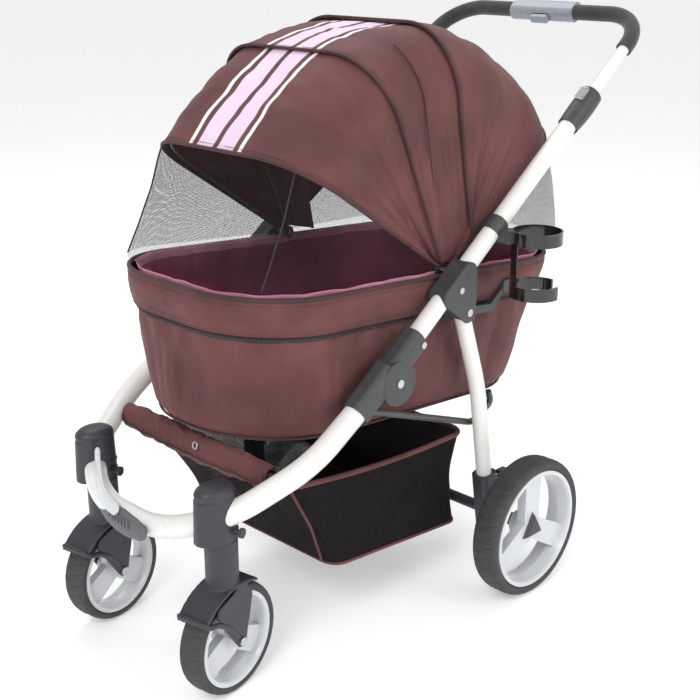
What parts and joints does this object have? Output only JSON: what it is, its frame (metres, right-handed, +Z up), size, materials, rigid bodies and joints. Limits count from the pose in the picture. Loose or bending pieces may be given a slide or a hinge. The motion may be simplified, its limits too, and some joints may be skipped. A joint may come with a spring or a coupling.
{
  "type": "pet stroller",
  "caption": "Folding pet stroller with a fabric cot and hood, mesh windows, basket, cup holder, telescopic handle, swivel casters and a rear brake.",
  "frame": {"origin": "on the floor, under the middle of the overall box", "axes": "+Z up, -Y towards the front casters, +X towards the side with the cup holder"},
  "size_m": [0.658, 1.0861, 1.0053],
  "materials": {
    "tube_white": "satin pearl white paint",
    "housing_plastic": "fine texture",
    "caster_plastic": "fine texture",
    "step_plastic": "ribbed",
    "button_plastic": "satin",
    "console_plastic": "satin grey",
    "grip_foam": "foam",
    "steel_pin": "plated",
    "bar_dark": "dark grey paint",
    "tyre": "matte rubber",
    "rim_silver": "silver grey",
    "cup_gloss": "gloss black",
    "fabric_brown": "woven polyester",
    "piping_dark": "piping",
    "mesh_dark": "mesh",
    "lining": "padded lining"
  },
  "bodies": {
    "push_frame": {"push_tube_right": "tube_white", "push_tube_left": "tube_white", "hinge_upper_right": "housing_plastic", "hinge_upper_left": "housing_plastic", "leg_brackets": "housing_plastic", "frame_pins": "steel_pin", "collars": "housing_plastic", "cot_tub": "fabric_brown", "cot_rim": "piping_dark", "mattress": "lining", "cot_arms": "housing_plastic", "cup_holder": "cup_gloss", "cup_clamp": "housing_plastic", "hood_rear": "fabric_brown", "mesh_rear": "mesh_dark", "mesh_front": "mesh_dark", "hood_pins": "steel_pin", "basket": "mesh_dark"},
    "handle": {"handle_tube": "tube_white", "grips": "grip_foam", "console": "console_plastic"},
    "release_button": {"release_button": "console_plastic"},
    "collar_button_right": {"collar_button_right": "button_plastic"},
    "collar_button_left": {"collar_button_left": "button_plastic"},
    "front_frame": {"front_tube": "tube_white", "hinge_lower_right": "housing_plastic", "hinge_lower_left": "housing_plastic", "crossbar": "bar_dark", "crossbar_sleeve": "fabric_brown", "caster_housing_right": "caster_plastic", "caster_housing_left": "caster_plastic", "foot_step": "step_plastic"},
    "rear_legs": {"leg_right": "tube_white", "leg_left": "tube_white", "leg_feet": "caster_plastic", "rear_axle": "steel_pin", "axle_sleeves": "caster_plastic", "brake_bracket": "caster_plastic"},
    "brake_pedal": {"brake_pedal": "caster_plastic"},
    "link_bars": {"link_bars": "bar_dark"},
    "hood_front": {"hood_front": "fabric_brown", "hood_bow_front": "bar_dark"},
    "hood_middle": {"hood_middle": "fabric_brown", "hood_bow_middle": "bar_dark"},
    "caster_right": {"fork_right": "caster_plastic", "front_axle_bolt_right": "steel_pin"},
    "front_wheel_right": {"front_tyre_right": "tyre", "front_rim_right": "rim_silver"},
    "swivel_lock_right": {"swivel_lock_right": "caster_plastic"},
    "rear_wheel_right": {"rear_tyre_right": "tyre", "rear_rim_right": "rim_silver", "rear_hubcap_right": "caster_plastic"},
    "caster_left": {"fork_left": "caster_plastic", "front_axle_bolt_left": "steel_pin"},
    "front_wheel_left": {"front_tyre_left": "tyre", "front_rim_left": "rim_silver"},
    "swivel_lock_left": {"swivel_lock_left": "caster_plastic"},
    "rear_wheel_left": {"rear_tyre_left": "tyre", "rear_rim_left": "rim_silver", "rear_hubcap_left": "caster_plastic"}
  },
  "joints": [
    {"name": "fold", "type": "hinge", "parent": "push_frame", "child": "front_frame", "pos_m": [0, -0.158, 0.458], "axis": [1, 0, 0], "range_deg": [0, 75], "deforming": ["basket"]},
    {"name": "leg_fold", "type": "hinge", "parent": "push_frame", "child": "rear_legs", "pos_m": [0, 0.012, 0.537], "axis": [1, 0, 0], "range_deg": [0, 26.3]},
    {"name": "link_fold", "type": "hinge", "parent": "front_frame", "child": "link_bars", "pos_m": [0, -0.206, 0.413], "axis": [1, 0, 0], "range_deg": [-62.3, 0]},
    {"name": "handle_slide", "type": "slide", "parent": "push_frame", "child": "handle", "axis": [0, -0.8018, -0.5976], "range_m": [0, 0.09]},
    {"name": "release_press", "type": "slide", "parent": "handle", "child": "release_button", "axis": [0, 0.8018, 0.5976], "range_m": [0, 0.004], "stiffness_N_per_m": 900, "springref_m": -0.0008},
    {"name": "collar_press_right", "type": "slide", "parent": "push_frame", "child": "collar_button_right", "axis": [0, 0.5976, -0.8018], "range_m": [0, 0.002], "stiffness_N_per_m": 900, "springref_m": -0.0006},
    {"name": "collar_press_left", "type": "slide", "parent": "push_frame", "child": "collar_button_left", "axis": [0, 0.5976, -0.8018], "range_m": [0, 0.002], "stiffness_N_per_m": 900, "springref_m": -0.0006},
    {"name": "hood_open", "type": "hinge", "parent": "push_frame", "child": "hood_front", "pos_m": [0, 0.001, 0.6035], "axis": [-1, 0, 0], "range_deg": [0, 50]},
    {"name": "hood_follow", "type": "hinge", "parent": "push_frame", "child": "hood_middle", "pos_m": [0, 0.001, 0.6035], "axis": [-1, 0, 0], "range_deg": [0, 25]},
    {"name": "brake", "type": "hinge", "parent": "rear_legs", "child": "brake_pedal", "pos_m": [0.214, 0.15, 0.171], "axis": [-1, 0, 0], "range_deg": [0, 18]},
    {"name": "swivel_right", "type": "hinge", "parent": "front_frame", "child": "caster_right", "pos_m": [0.156, -0.457, 0.24], "axis": [0, 0, 1], "continuous": true},
    {"name": "front_spin_right", "type": "hinge", "parent": "caster_right", "child": "front_wheel_right", "pos_m": [0.15471, -0.4491, 0.092], "axis": [0.9869, 0.1616, 0], "continuous": true},
    {"name": "rear_spin_right", "type": "hinge", "parent": "rear_legs", "child": "rear_wheel_right", "pos_m": [0.304, 0.122, 0.127], "axis": [1, 0, 0], "continuous": true},
    {"name": "lock_pull_right", "type": "slide", "parent": "front_frame", "child": "swivel_lock_right", "axis": [0.9439, 0.3304, 0], "range_m": [0, 0.005], "stiffness_N_per_m": 600, "springref_m": -0.001},
    {"name": "swivel_left", "type": "hinge", "parent": "front_frame", "child": "caster_left", "pos_m": [-0.156, -0.457, 0.24], "axis": [0, 0, 1], "continuous": true},
    {"name": "front_spin_left", "type": "hinge", "parent": "caster_left", "child": "front_wheel_left", "pos_m": [-0.15729, -0.4491, 0.092], "axis": [0.9869, 0.1616, 0], "continuous": true},
    {"name": "rear_spin_left", "type": "hinge", "parent": "rear_legs", "child": "rear_wheel_left", "pos_m": [-0.304, 0.122, 0.127], "axis": [1, 0, 0], "continuous": true},
    {"name": "lock_pull_left", "type": "slide", "parent": "front_frame", "child": "swivel_lock_left", "axis": [0.9439, 0.3304, 0], "range_m": [0, 0.005], "stiffness_N_per_m": 600, "springref_m": -0.001}
  ],
  "couplings": [
    {"joint": "leg_fold", "follows": "fold", "ratio": 0.35},
    {"joint": "link_fold", "follows": "fold", "ratio": -0.83},
    {"joint": "hood_follow", "follows": "hood_open", "ratio": 0.5}
  ]
}
